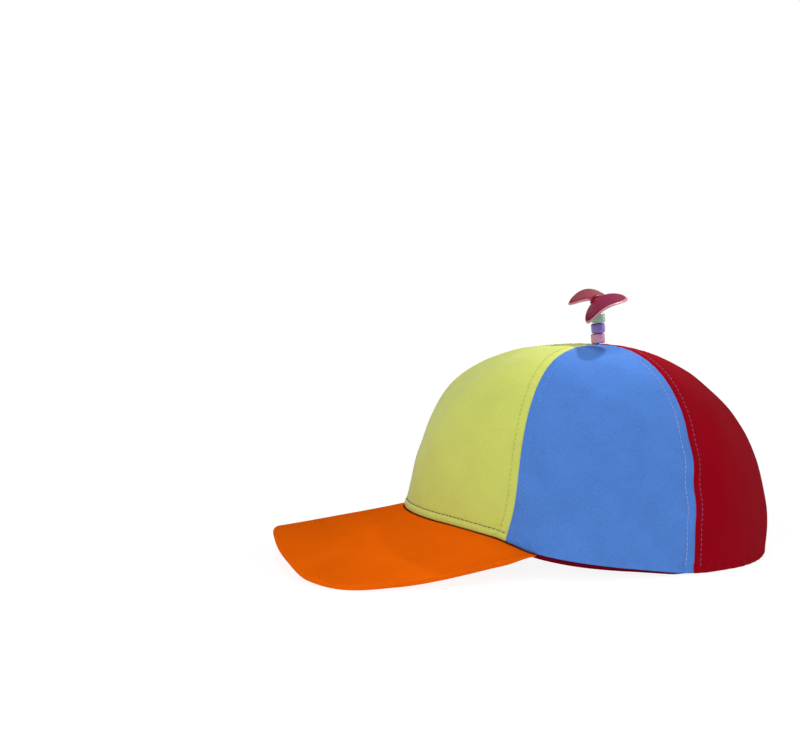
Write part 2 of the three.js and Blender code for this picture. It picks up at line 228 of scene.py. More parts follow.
HUB_MOUTH_RADIUS = 2.4  # the bore widens below the bend
HUB_TOP = 1.3
HUB_BOTTOM = 6.7
HUB_OVERRUN = 1  # how far the bore is cut past the hub's foot
HUB_ROUNDING = 0.4
HUB_NECK = 0.4  # from the blades' underside to the top of the flare
HUB_COLLAR = 0.3
HUB_SHOULDER = (0.2, 0.5)  # out from the hub and down from its top
HUB_FADE = 0.6  # width over which the hub's colour gives way to a blade's
TURNED_SIDES = 72

# Camera, in millimetres in the row's frame
CAMERA_PLACE = (755.8, -179.4, 153.6)
CAMERA_AIM = (-34.2, -65.6, 99.6)
CAMERA_LENS = 60.8

# Floor and lamps. toward points from the cap to a lamp, and spread is its width in degrees.
FLOOR_HALF = 6.0  # metres
FLOOR_GLOW = 0.9
FLOOR_GREY = (0.12, 0.12, 0.12, 1)
WHITE = (1, 1, 1, 1)
WORLD_STRENGTH = 0.06
KEY_LAMP = {"toward": (-0.06, 0.03, 1), "strength": 1.35, "spread": 25}
FRONT_LAMP = {"toward": (0.74, -0.48, 0.46), "strength": 1.95, "spread": 35}
SIDE_LAMP = {"toward": (0.2, 0.93, 0.3), "strength": 1.2, "spread": 60}
SPOT_TOWARD = (-0.27, 0.46, 0.84)
SPOT_AIM = (6, 45, 119)  # the top of the crown, in millimetres in the row's frame
SPOT_POWER = 17
SPOT_DISTANCE = 0.6  # metres
SPOT_WIDTH = 12  # of its cone, in degrees
SPOT_RADIUS = 0.025  # metres

# Textures. Scales are for cloth in millimetres, and for thread and plastic in metres.
RIB_SCALE = 0.9  # a twill rib every 0.7 mm
FIBRE_SCALE = 1.4
MOTTLE_SCALE = 0.05
WEAR_SCALE = 0.6
TWIST_SCALE = 900
FADE_SCALE = 170
GRAIN_SCALE = 1400
WEAR_SHARE = 0.4
RIB_SHARE = 0.35
FLECK_SHARE = 0.25
FADE_SHARE = 0.6
WEAVE_RELIEF = 0.3
ROOT_SHADOW_SHARE = 0.4  # of the width of the painted shadow at a cloth's root that is fully dark
# how dark the painted shadow at a cloth's root is, as a share of the cloth's colour
ROOT_SHADOW_DARKNESS = 0.2

pin_low, pin_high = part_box("post")
ROW_SHIFT = (pin_low.y + pin_high.y) / 2 / MM - TOP_SETBACK


def place(points):
    """Crown millimetres to metres in the row's frame."""
    return (np.asarray(points, float) + (0, ROW_SHIFT, 0)) * MM


def smooth_table(places, values):
    """A smooth curve through a table that never overshoots, level at both ends."""
    places = np.array(places, float)
    values = np.array(values, float)
    slopes = np.diff(values) / np.diff(places)
    tangents = np.zeros(len(places))
    for i in range(1, len(places) - 1):
        product = slopes[i - 1] * slopes[i]
        tangents[i] = 2 * product / (slopes[i - 1] + slopes[i]) if product > 0 else 0

    def curve(at):
        at = np.asarray(at, float)
        i = np.clip(np.searchsorted(places, at) - 1, 0, len(places) - 2)
        width = places[i + 1] - places[i]
        t = np.clip((at - places[i]) / width, 0, 1)
        bend = t * t * (3 - 2 * t)
        leave = t * (1 - t) ** 2 * width * tangents[i]
        arrive = t * t * (t - 1) * width * tangents[i + 1]
        return values[i] + (values[i + 1] - values[i]) * bend + leave + arrive

    return curve


rim_height = smooth_table(SECTION_ANGLES, SECTION_RIMS)
fullness = smooth_table(SECTION_ANGLES, SECTION_FULLNESS)
brim_edge_height = smooth_table(BRIM_EDGE_SHARES, BRIM_EDGE_HEIGHTS)


def lerp(a, b, t):
    return a + (b - a) * t


def bump(at, middle, spread):
    return np.exp(-(((at - middle) / spread) ** 2))


def smoothstep(low, high, at):
    t = np.clip((at - low) / (high - low), 0, 1)
    return t * t * (3 - 2 * t)


def along_line(line):
    """Distance of each point of a line from its first one."""
    return np.concatenate([[0], np.cumsum(np.linalg.norm(np.diff(line, axis=0), axis=1))])


def read_line(at, along, line):
    """The vectors of a line at given distances along it."""
    return np.stack([np.interp(at, along, line[:, axis]) for axis in range(3)], -1)


def soft_noise(points, size, shift=(0, 0, 0)):
    """Smooth noise over a grid of points, with hills about as long as size."""
    spots = points.reshape(-1, 3) / size + shift
    return np.array([noise.noise(Vector(spot)) for spot in spots]).reshape(points.shape[:2])


def rim_point(angle, inset=0):
    sideways = np.sin(np.radians(angle))
    forward = np.cos(np.radians(angle))
    power = np.where(forward < 0, 2 / BACK_SQUARENESS, 1)
    x = (CROWN_WIDTH / 2 - inset) * np.sign(sideways) * np.abs(sideways) ** power
    y = -(CROWN_LENGTH / 2 - inset) * np.sign(forward) * np.abs(forward) ** power
    return np.stack([x, y, rim_height(np.abs(angle))], -1)


def crown_point(angle, rise, inset=0):
    """A point on the crown's outer face. rise runs from 0 at the rim to 1 at the top."""
    angle, rise = np.broadcast_arrays(np.asarray(angle, float), np.asarray(rise, float))
    rim = rim_point(angle, inset)
    power = 2 / fullness(np.abs(angle))
    height = np.sin(rise * np.pi / 2) ** power
    forward = np.cos(np.radians(angle))
    lean = np.where(forward > 0, FRONT_LEAN, -BACK_SWELL) * forward**2 * 2 * height * (1 - height)
    radius = np.cos(rise * np.pi / 2) ** power - lean
    x = rim[..., 0] * radius
    y = lerp(TOP_SETBACK, rim[..., 1], radius)
    z = lerp(rim[..., 2], CROWN_HEIGHT - inset, height)
    return np.stack([x, y, z], -1)


def rise_at_hole(angle):
    rim = rim_point(angle)
    share = TOP_HOLE_RADIUS / np.hypot(rim[..., 0], rim[..., 1] - TOP_SETBACK)
    return np.arccos(share ** (fullness(np.abs(angle)) / 2)) * 2 / np.pi


class Wall:
    """Distances along the crown's wall, from the rim up to the hole for the pin."""

    power = 1.5  # crowds the steps toward the rim
    angles = np.arange(0, 181.0)
    steps = np.linspace(0, 1, 401) ** power

    def __init__(self):
        rises = self.steps[None, :] * rise_at_hole(self.angles)[:, None]
        points = crown_point(self.angles[:, None], rises)
        lengths = np.linalg.norm(np.diff(points, axis=1), axis=2)
        along = np.concatenate([np.zeros((len(self.angles), 1)), np.cumsum(lengths, axis=1)], axis=1)
        self.lengths = along[:, -1]
        shares = [np.interp(self.steps, row / row[-1], self.steps) for row in along]
        self.shares = np.array(shares)

    def length(self, angle):
        return np.interp(np.abs(angle), self.angles, self.lengths)

    def share(self, angle, distance):
        """Share of the way up in rise, at a distance above the rim."""
        angle = np.clip(np.abs(angle), 0, 180)
        step = np.clip(distance / self.length(angle), 0, 1) ** (1 / self.power) * (len(self.steps) - 1)
        i = np.clip(angle.astype(int), 0, 179)
        k = np.clip(step.astype(int), 0, len(self.steps) - 2)
        a = angle - i
        b = step - k
        low = lerp(self.shares[i, k], self.shares[i, k + 1], b)
        high = lerp(self.shares[i + 1, k], self.shares[i + 1, k + 1], b)
        return lerp(low, high, a)

    def point(self, angle, distance):
        angle = np.asarray(angle, float)
        return crown_point(angle, self.share(angle, distance) * rise_at_hole(angle))


wall = Wall()


def seam_angle(seam, side, share, distance):
    waver = seam["wobble"] * np.sin(2 * np.pi * distance / WOBBLE_LENGTH)
    waver = waver * bump(distance, *WOBBLE_ABOVE)
    kick = seam["kick"] * (1 - (1 - share) ** KICK_POWER)
    bow = seam["bow"] * np.sin(np.pi * share)
    drift = seam["drift"] * share**2
    return side * (seam["angle"] + kick + bow + drift + waver)


# Meshes


def grid_faces(rows, columns, first=0, flip=False, ring=False):
    """Quads of a grid of points that has rows + 1 lines, counted up and to the right as seen from outside."""
    width = columns if ring else columns + 1
    i, j = np.meshgrid(np.arange(rows), np.arange(columns), indexing="ij")
    right = (j + 1) % width
    quads = np.stack([i * width + j, i * width + right, (i + 1) * width + right, (i + 1) * width + j], -1)
    quads = quads.reshape(-1, 4) + first
    return quads[:, ::-1] if flip else quads


def shell_faces(rows, columns, ring=False):
    """Quads of a closed shell between two grids of the same size, the outer one first."""
    width = columns if ring else columns + 1
    size = (rows + 1) * width
    at = np.arange(size).reshape(rows + 1, width)
    borders = [(at[0], 1), (at[-1], -1)]
    if ring:
        borders = [(np.append(line, line[0]), way) for line, way in borders]
    else:
        borders += [(at[:, -1], 1), (at[:, 0], -1)]
    faces = [grid_faces(rows, columns, 0, False, ring), grid_faces(rows, columns, size, True, ring)]
    for line, way in borders:
        line = line[::way]
        faces.append(np.stack([line[1:], line[:-1], line[:-1] + size, line[1:] + size], -1))
    return np.concatenate(faces)


def make_mesh(name, points, faces, uv=None, sharp=40):
    """points in millimetres about the crown. uv in millimetres of cloth, one for each point."""
    mesh = bpy.data.meshes.new(name)
    mesh.from_pydata(place(points).tolist(), [], [list(face) for face in faces])
    if uv is not None:
        corners = np.zeros(len(mesh.loops), np.int32)
        mesh.loops.foreach_get("vertex_index", corners)
        mesh.uv_layers.new(name="cloth").data.foreach_set("uv", np.asarray(uv, np.float32)[corners].ravel())
    mesh.shade_smooth()
    mesh.set_sharp_from_angle(angle=math.radians(sharp))
    mesh.validate()
    return mesh


def shell_mesh(name, outer, inner, uv, ring=False):
    """A closed sheet of cloth between two grids of points. uv has one pair for each point of a grid."""
    points = np.concatenate([outer.reshape(-1, 3), inner.reshape(-1, 3)])
    columns = outer.shape[1] if ring else outer.shape[1] - 1
    faces = shell_faces(len(outer) - 1, columns, ring)
    return make_mesh(name, points, faces, np.tile(uv.reshape(-1, 2), (2, 1)))


def new_object(name, data):
    made = bpy.data.objects.new(name, data)
    bpy.context.scene.collection.objects.link(made)
    return made


def add_piece(name, mesh, material, body, slot, *nodes):
    piece = new_object(name, mesh)
    mesh.materials.append(material)
    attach(piece, body)
    if nodes:
        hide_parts(*nodes)
    return piece


def turned(profile, sides=TURNED_SIDES):
    """Points and faces of a solid turned about Z. Its (radius, height) pairs form a loop or meet the axis."""
    profile = np.array(profile, float)
    turns = np.arange(sides) * 2 * np.pi / sides
    closed = np.allclose(profile[0], profile[-1])
    rings = profile[:-1] if closed else profile[1:-1]
    count = len(rings)
    radii = rings[:, :1]
    points = np.broadcast_arrays(radii * np.cos(turns), radii * np.sin(turns), rings[:, 1:])
    points = np.stack(points, -1).reshape(-1, 3)
    faces = grid_faces(count if closed else count - 1, sides, ring=True) % (count * sides)
    faces = faces.tolist()
    if not closed:
        points = np.concatenate([points, [[0, 0, profile[0, 1]], [0, 0, profile[-1, 1]]]])
        bottom = len(points) - 2
        top = len(points) - 1
        last = (count - 1) * sides
        for j in range(sides):
            k = (j + 1) % sides
            faces.append([bottom, k, j])
            faces.append([top, last + j, last + k])
    return points, faces


def arc(middle, radius, first, last, steps):
    """Pairs (radius, height) on an arc between two angles in degrees."""
    turns = np.radians(np.linspace(first, last, steps + 1))
    return [(middle[0] + radius * math.cos(t), middle[1] + radius * math.sin(t)) for t in turns]


# Materials


def srgb(colour):
    """A screen colour, 0 to 255, as the linear colour that a shader takes."""
    shares = np.array(colour) / 255
    linear = np.where(shares <= 0.04045, shares / 12.92, ((shares + 0.055) / 1.055) ** 2.4)
    return (*linear.tolist(), 1)


def fill(made, inputs):
    """Sets or links each named input of a node."""
    for key, value in inputs.items():
        if isinstance(value, bpy.types.NodeSocket):
            made.id_data.links.new(value, made.inputs[key])
        else:
            made.inputs[key].default_value = value


def node(tree, kind, inputs=None, **settings):
    made = tree.nodes.new(kind)
    for key, value in settings.items():
        setattr(made, key, value)
    fill(made, inputs or {})
    return made


def new_material(name):
    material = bpy.data.materials.new(name)
    material.use_nodes = True
    tree = material.node_tree
    return material, tree, tree.nodes["Principled BSDF"]


def mix(tree, factor, first, second):
    """Mixes two colours and gives the result's socket."""
    return node(tree, "ShaderNodeMix", {0: factor, 6: first, 7: second}, data_type="RGBA").outputs[2]


def scaled(colour, by):
    return tuple(min(1, channel * by) for channel in colour[:3]) + (1,)


def shaded(tree, factor, colour, dark, light):
    """A colour between a darker and a lighter share of itself."""
    return mix(tree, factor, scaled(colour, dark), scaled(colour, light))


def ramp(tree, value, low, high):
    """0 up to low, 1 from high on, and a straight slope between."""
    limits = {"Value": value, "From Min": low, "From Max": high}
    return node(tree, "ShaderNodeMapRange", limits).outputs["Result"]


def speckle(tree, spot, scale, detail, roughness=0.5, distortion=0.0):
    settings = {"Scale": scale, "Detail": detail, "Roughness": roughness, "Distortion": distortion}
    return node(tree, "ShaderNodeTexNoise", {"Vector": spot, **settings}).outputs["Fac"]


def cloth_material(name, colour, sheen=0.0, root_shadow=0, uneven=0.33):
    """Cotton twill: diagonal ribs, loose fibres and dye that varies by the share uneven.

    Its root can carry a painted shadow of a given width: a dark line standing in for the shade under the edge
    above it.
    """
    material, tree, shader = new_material(name)
    colour = srgb(colour)
    cloth = node(tree, "ShaderNodeTexCoord").outputs["UV"]
    ribs = {"Vector": cloth, "Scale": RIB_SCALE, "Distortion": 1.2, "Detail": 2, "Detail Scale": 1.5}
    rib = node(tree, "ShaderNodeTexWave", ribs, bands_direction="DIAGONAL").outputs["Fac"]
    fibre = speckle(tree, cloth, FIBRE_SCALE, detail=3, roughness=0.65)
    mottle = speckle(tree, cloth, MOTTLE_SCALE, detail=4, roughness=0.6)
    wear = speckle(tree, cloth, WEAR_SCALE, detail=3, roughness=0.6)
    dyed = shaded(tree, mottle, colour, 1 - uneven, 1 + uneven)
    worn = shaded(tree, wear, colour, 1 - uneven, 1 + uneven)
    ribbed = shaded(tree, rib, colour, dark=0.86, light=1.12)
    flecked = shaded(tree, fibre, colour, dark=0.4, light=1.6)
    plain = mix(tree, RIB_SHARE, mix(tree, WEAR_SHARE, dyed, worn), ribbed)
    woven = mix(tree, FLECK_SHARE, plain, flecked)
    # painted shadow: the cloth darkens along its root, standing in for the shade under the edge above it
    if root_shadow:
        depth = node(tree, "ShaderNodeSeparateXYZ", {"Vector": cloth}).outputs["Y"]
        clear = ramp(tree, depth, ROOT_SHADOW_SHARE * root_shadow, root_shadow)
        woven = mix(tree, clear, scaled(colour, ROOT_SHADOW_DARKNESS), woven)
    weave = node(tree, "ShaderNodeMath", {0: rib, 1: fibre}, operation="ADD").outputs[0]
    relief = node(tree, "ShaderNodeBump", {"Strength": WEAVE_RELIEF, "Distance": 0.0003, "Height": weave})
    finish = {
        "Base Color": woven,
        "Normal": relief.outputs["Normal"],
        "Roughness": 0.95,
        "Specular IOR Level": 0.0,
        "Sheen Weight": sheen,
        "Sheen Roughness": 0.5,
    }
    fill(shader, finish)
    return material


def thread_material(name, colour):
    """Spun polyester thread with its twist."""
    material, tree, shader = new_material(name)
    colour = srgb(colour)
    spot = node(tree, "ShaderNodeTexCoord").outputs["Object"]
    twist = speckle(tree, spot, TWIST_SCALE, detail=2)
    fade = speckle(tree, spot, FADE_SCALE, detail=2)
    spun = shaded(tree, twist, colour, dark=0.75, light=1.2)
    faded = shaded(tree, fade, colour, dark=0.3, light=1.6)
    painted = mix(tree, FADE_SHARE, spun, faded)
    fill(shader, {"Base Color": painted, "Roughness": 0.7, "Specular IOR Level": 0.2})
    return material


def plastic_material(name, colour, deep, roughness=0.28, coat=0.25, glow=0.0, swirl=260):
    """Moulded plastic with a faint flow swirl. glow is how much light spreads inside it."""
    material, tree, shader = new_material(name)
    spot = node(tree, "ShaderNodeTexCoord").outputs["Object"]
    flow = speckle(tree, spot, swirl, detail=3, distortion=1.5)
    grain = speckle(tree, spot, GRAIN_SCALE, detail=2)
    skin = node(tree, "ShaderNodeBump", {"Strength": 0.06, "Distance": 0.0002, "Height": grain})
    finish = {
        "Base Color": mix(tree, flow, srgb(deep), srgb(colour)),
        "Normal": skin.outputs["Normal"],
        "Roughness": roughness,
        "IOR": 1.49,
        "Subsurface Weight": glow,
        "Subsurface Radius": (0.003, 0.002, 0.002),
        "Subsurface Scale": 1.0,
        "Coat Weight": coat,
        "Coat Roughness": 0.12,
    }
    fill(shader, finish)
    return material


def blade_material(name, colour, deep, backlit_colour, border, edge):
    """Tinted plastic with a darker border and a pale edge on each blade; the far blade is painted paler,
    standing in for light shining through it.
    """
    material = plastic_material(name, colour, deep, roughness=0.35, coat=0.05, glow=0.1, swirl=90)
    tree = material.node_tree
    shader = tree.nodes["Principled BSDF"]
    body = shader.inputs["Base Color"].links[0].from_socket
    rim = node(tree, "ShaderNodeAttribute", attribute_name="rim").outputs["Fac"]
    backlit_paleness = node(tree, "ShaderNodeAttribute", attribute_name="backlit_paleness").outputs["Fac"]
    # painted light: the far blade takes a paler colour, as if light shone through it
    body = mix(tree, backlit_paleness, body, srgb(backlit_colour))
    bordered = mix(tree, ramp(tree, rim, 0, 1), body, srgb(border))
    fill(shader, {"Base Color": mix(tree, ramp(tree, rim, 1, 2), bordered, srgb(edge))})
    return material


def floor_material():
    """A white table lit softly from below, so that no shadow on it is deep."""
    material, _, shader = new_material("floor")
    finish = {
        "Base Color": FLOOR_GREY,
        "Roughness": 0.9,
        "Specular IOR Level": 0.1,
        "Emission Color": WHITE,
        "Emission Strength": FLOOR_GLOW,
    }
    fill(shader, finish)
    return material


yellow_cloth = cloth_material("yellow_cloth", (192, 200, 97), sheen=0.2)
blue_cloth = cloth_material("blue_cloth", (76, 122, 197), sheen=0.03, uneven=0.65)
red_cloth = cloth_material("red_cloth", (138, 3, 21), sheen=0.02)
# the brim carries a painted shadow along its root, where the crown's edge shades it
orange_cloth = cloth_material("orange_cloth", (224, 92, 6), root_shadow=1.3)
band_cloth = cloth_material("band_cloth", (92, 6, 18))
olive_thread = thread_material("olive_thread", (164, 170, 98))
# painted shade: a thread painted dark, standing in for a paler thread in the shade of the hem's groove
shaded_hem_thread = thread_material("shaded_hem_thread", (52, 74, 76))
sky_thread = thread_material("sky_thread", (106, 144, 208))
lilac_thread = thread_material("lilac_thread", (150, 162, 206))
mauve_thread = thread_material("mauve_thread", (142, 74, 112))
pink_plastic = plastic_material("pink_bead", (224, 162, 188), (206, 142, 170), glow=0.03)
purple_plastic = plastic_material("purple_bead", (164, 136, 224), (134, 104, 198), glow=0.03)
green_plastic = plastic_material("green_bead", (190, 226, 204), (158, 202, 170), glow=0.3)
red_plastic = blade_material(
    "red_plastic",
    (150, 30, 58),
    (108, 27, 72),
    # the far blade's colour with painted light shining through it
    backlit_colour=(138, 57, 66),
    border=(126, 4, 30),
    edge=(190, 132, 142),
)
pin_plastic = plastic_material("pin_plastic", (146, 18, 36), (124, 10, 26), roughness=0.4, coat=0.0)

# Cloth panels


# Ends of panels: the seam, and the topstitch's offset from it, its thread and the length of a stitch
YELLOW_END = (FRONT_SEAM, 4.4, olive_thread, 1.9)
BLUE_FRONT_END = (FRONT_SEAM, 4.1, sky_thread, 1.7)
BLUE_BACK_END = (BACK_SEAM, 5.4, lilac_thread, 2.4)
RED_SIDE_END = (BACK_SEAM, 3.8, mauve_thread, 2)
RED_MIDDLE_END = (MIDDLE_SEAM, 3.8, mauve_thread, 2)

# Panels: the name, slot and material, and each end with the side of the cap that it is on
PANELS = (
    ("front", "yellow_cloth", yellow_cloth, (YELLOW_END, -1), (YELLOW_END, 1)),
    ("side_left", "blue_cloth", blue_cloth, (BLUE_FRONT_END, 1), (BLUE_BACK_END, 1)),
    ("side_right", "blue_cloth", blue_cloth, (BLUE_BACK_END, -1), (BLUE_FRONT_END, -1)),
    ("back_left", "red_cloth", red_cloth, (RED_SIDE_END, 1), (RED_MIDDLE_END, 1)),
    ("back_right", "red_cloth", red_cloth, (RED_MIDDLE_END, -1), (RED_SIDE_END, -1)),
)


def row_distances(angle, row, rows):
    """Distance of a row above the rim: the hem's rows are fixed, and the others share out the wall."""
    hem = len(HEM_ROWS) - 1
    if row <= hem:
        return np.full(np.shape(angle), float(HEM_ROWS[row]))
    return lerp(HEM_ROWS[-1], wall.length(angle), (row - hem) / (rows - hem))


def seam_angle_on_row(seam, side, row, rows):
    angle = np.array(float(side * seam["angle"]))
    for _ in range(SEAM_PASSES):
        distance = row_distances(angle, row, rows)
        angle = seam_angle(seam, side, wall.share(angle, distance), distance)
    return float(angle)


def column_distances(width, middle):
    """Distances of the columns across a row: close together beside each seam and even between."""
    edge = np.array(EDGE_COLUMNS)
    edge = edge * min(1, EDGE_SHARE * width / edge[-1])
    between = np.linspace(edge[-1], width - edge[-1], middle + 1)[1:-1]
    return np.concatenate([edge, between, width - edge[::-1]])


def panel_grid(first, last):
    """Points on the crown between two seams, and how far each is across and up."""
    corners = [side * seam["angle"] for seam, side in (first, last)]
    height = float(wall.length(sum(corners) / 2))
    hem = len(HEM_ROWS) - 1
    rows = hem + round((height - HEM_ROWS[-1]) / CELL)
    widest = along_line(rim_point(np.linspace(*corners, RIM_SAMPLES)))[-1]
    middle = round((widest - 2 * EDGE_COLUMNS[-1]) / CELL)
    grid = []
    for row in range(rows + 1):
        ends = [seam_angle_on_row(seam, side, row, rows) for seam, side in (first, last)]
        angles = np.linspace(*ends, ROW_SAMPLES)
        along = along_line(wall.point(angles, row_distances(angles, row, rows)))
        distances = column_distances(along[-1], middle)
        chosen = np.interp(distances, along, angles)
        chosen[0] -= SEAM_LAP * (angles[1] - angles[0]) / along[1]
        chosen[-1] += SEAM_LAP * (angles[-1] - angles[-2]) / (along[-1] - along[-2])
        up_row = row_distances(chosen, row, rows)
        grid.append((wall.point(chosen, up_row), distances, up_row))
    return [np.array(part) for part in zip(*grid)]


def grid_normals(points):
    over = np.gradient(points, axis=1)
    upward = np.gradient(points, axis=0)
    normals = np.cross(over, upward)
    return normals / np.linalg.norm(normals, axis=-1, keepdims=True)


def wrinkles(points, up):
    """Soft dents of worn cloth, in millimetres. They are deepest low down, where nothing stretches it."""
    broad = DENT_HEIGHT * soft_noise(points, DENT_LENGTH)
    small = SMALL_DENT_HEIGHT * soft_noise(points, SMALL_DENT_LENGTH, SMALL_DENT_SHIFT)
    folds = FOLD_HEIGHT * soft_noise(points, FOLD_SIZE)
    slack = lerp(SLACK_LEAST, 1, bump(up, *SLACK_ABOVE))
    return (broad + small) * slack + folds * smoothstep(*FOLD_START, up)


def groove(at, where):
    return -STITCH_DEPTH * bump(at, where, STITCH_SPREAD)


def ripple(at, shift, length):
    """Puckers along a line. They shift to and fro over a length, so that no two are alike."""
    return np.sin(2 * np.pi * at / PUCKER_LENGTH + shift * np.sin(at / length))


def outer_relief(points, across, up, width, hemmed, offsets):
    """Height of the cloth's outer face above the plain crown."""
    beside = np.minimum(across, width - across)
    fade = smoothstep(*SEWN_WIDTHS, width)
    past_allowance = smoothstep(ALLOWANCE - ALLOWANCE_SLOPE, ALLOWANCE + ALLOWANCE_SLOPE, beside)
    relief = -SEAM_DEPTH * bump(beside, 0, SEAM_SPREAD)
    relief += ALLOWANCE_PUFF * (1 - past_allowance) * fade
    relief += (groove(across, offsets[0]) + groove(width - across, offsets[1])) * fade
    relief += PUCKER_HEIGHT * ripple(up, *SEAM_UNEVENNESS) * bump(beside, *PUCKER_BESIDE) * fade
    calm = lerp(CALM_SHARE, 1, smoothstep(0, CALM_WIDTH, beside))
    relief += wrinkles(points, up) * calm * smoothstep(*WRINKLED_WIDTHS, width)
    puff = HEM_PUFF if hemmed else RIM_PUFF
    relief += puff * np.sin(np.pi * np.clip(up / HEM_HEIGHT, 0, 1)) ** 2
    if hemmed:
        relief += groove(up, HEM_HEIGHT)
    drag = np.sin(2 * np.pi * (up + DRAG_SLANT * beside) / DRAG_LENGTH)
    relief += DRAG_HEIGHT * drag * bump(beside, *DRAG_BESIDE) * bump(up, *DRAG_ABOVE)
    wave = HEM_WAVE if hemmed else RIM_WAVE
    relief += wave * ripple(across, *RIM_UNEVENNESS) * bump(up, *WAVE_ABOVE)
    return relief


def roll(up):
    """How far a rolled edge turns in at a distance above the rim."""
    return HEM_ROLL - np.sqrt(np.clip(HEM_ROLL**2 - np.clip(HEM_ROLL - up, 0, HEM_ROLL) ** 2, 0, None))


def inner_relief(across, up, width):
    beside = np.minimum(across, width - across)
    past_allowance = smoothstep(ALLOWANCE, ALLOWANCE + ALLOWANCE_INSIDE_SLOPE, beside)
    return -CLOTH - ALLOWANCE_INSIDE * (1 - past_allowance) + roll(up)


def add_stitches(name, material, slot, line, normals, first, last, length):
    """A row of stitches along a line of surface points, between two distances."""
    along = along_line(line)
    last = min(last, along[-1])
    count = max(1, round((last - first) / STITCH_PITCH))
    pitch = (last - first) / count
    share = np.linspace(0, 1, STITCH_RINGS)
    arch = np.sin(np.pi * share)
    lift = STITCH_ARCH * arch**STITCH_ARCH_POWER - STITCH_SINK
    thick = THREAD_RADIUS * lerp(THREAD_END, 1, arch**THREAD_SWELL_POWER)
    turns = np.arange(THREAD_SIDES) * 2 * np.pi / THREAD_SIDES
    points, faces = [], []
    for k in range(count):
        at = first + k * pitch + share * length
        middle = read_line(at, along, line)
        up = read_line(at, along, normals)
        forward = np.gradient(middle, axis=0)
        forward /= np.linalg.norm(forward, axis=1, keepdims=True)
        side = np.cross(forward, up)
        middle = middle + up * lift[:, None]
        around = np.cos(turns)[None, :, None] * side[:, None] + np.sin(turns)[None, :, None] * up[:, None]
        start = len(points) * STITCH_RINGS * THREAD_SIDES
        end = start + (STITCH_RINGS - 1) * THREAD_SIDES
        points.append(middle[:, None] + around * thick[:, None, None])
        faces += grid_faces(STITCH_RINGS - 1, THREAD_SIDES, start, True, True).tolist()
        faces.append([start + j for j in range(THREAD_SIDES)])
        faces.append([end + j for j in reversed(range(THREAD_SIDES))])
    mesh = make_mesh(name, np.concatenate(points).reshape(-1, 3), faces, sharp=80)
    return add_piece(name, mesh, material, "cap", slot)


def line_beside(values, across, offset):
    """Reads a grid of vectors along a line that keeps its distance from the first column."""
    return np.array([read_line(offset, distances, row) for distances, row in zip(across, values)])


def add_panel(panel, slot, material, first, last):
    name = f"cloth_{panel}"
    node_name = f"panel_{panel}"
    hemmed = panel == "front"
    seams = [(end[0], side) for end, side in (first, last)]
    offsets = [end[1] for end, _ in (first, last)]
    points, across, up = panel_grid(*seams)
    width = across[:, -1:]
    normals = grid_normals(points)
    relief = outer_relief(points, across, up, width, hemmed, offsets) - roll(up)
    outer = points + normals * relief[..., None]
    inner = points + normals * inner_relief(across, up, width)[..., None]
    for face in (outer, inner):
        face[..., 2] = np.maximum(face[..., 2], GROUND)
    mesh = shell_mesh(name, outer, inner, np.stack([across - width / 2, up], -1))
    piece = add_piece(name, mesh, material, "cap", slot, node_name)
    surface = grid_normals(outer)
    length = float(up[-1, 0])
    ends = (("first", first[0], across, 1), ("last", last[0], width - across, -1))
    for end, (_, offset, thread, stitch), distances, way in ends:
        thread_name = f"topstitch_{node_name}_{end}"
        line = line_beside(outer[:, ::way], distances[:, ::way], offset)
        upward = line_beside(surface[:, ::way], distances[:, ::way], offset)
        stop = length - TOPSTITCH_END - 2 * offset
        add_stitches(thread_name, thread, slot, line, upward, HEM_HEIGHT, stop, stitch)
    if hemmed:
        hem = HEM_ROWS.index(HEM_HEIGHT)
        limits = (HEM_STITCH_ENDS[0], across[hem, -1] - HEM_STITCH_ENDS[1], HEM_STITCH)
        # the hem's stitches take the thread painted dark for the shade of the groove
        add_stitches("hem_stitch", shaded_hem_thread, slot, outer[hem], surface[hem], *limits)


for panel in PANELS:
    add_panel(*panel)

# Brim


def brim_edge(share):
    """A point on the brim's lower outer edge. share runs from -1 at its right corner to 1 at its left."""
    along = np.abs(share)
    corner = rim_point(np.array(BRIM_CORNER), -BRIM_CORNER_WIDTH)
    widest = BRIM_WIDTH / 2
    turn = np.clip(along / BRIM_FRONT_SHARE, 0, 1) * np.pi / 2
    ahead = CROWN_LENGTH / 2 + BRIM_LENGTH - BRIM_WIDEST
    front_x = widest * np.sin(turn) ** (2 / BRIM_SQUARENESS)
    front_y = -BRIM_WIDEST - ahead * np.clip(np.cos(turn), 0, 1) ** (2 / BRIM_SQUARENESS)
    back = np.clip((along - BRIM_FRONT_SHARE) / (1 - BRIM_FRONT_SHARE), 0, 1)
    side_x = lerp(widest, corner[0], back**BRIM_SIDE_CURVE)
    side_y = lerp(-BRIM_WIDEST, corner[1], back)
    front = along <= BRIM_FRONT_SHARE
    x = np.sign(share) * np.where(front, front_x, side_x)
    return np.stack([x, np.where(front, front_y, side_y), brim_edge_height(along)], -1)


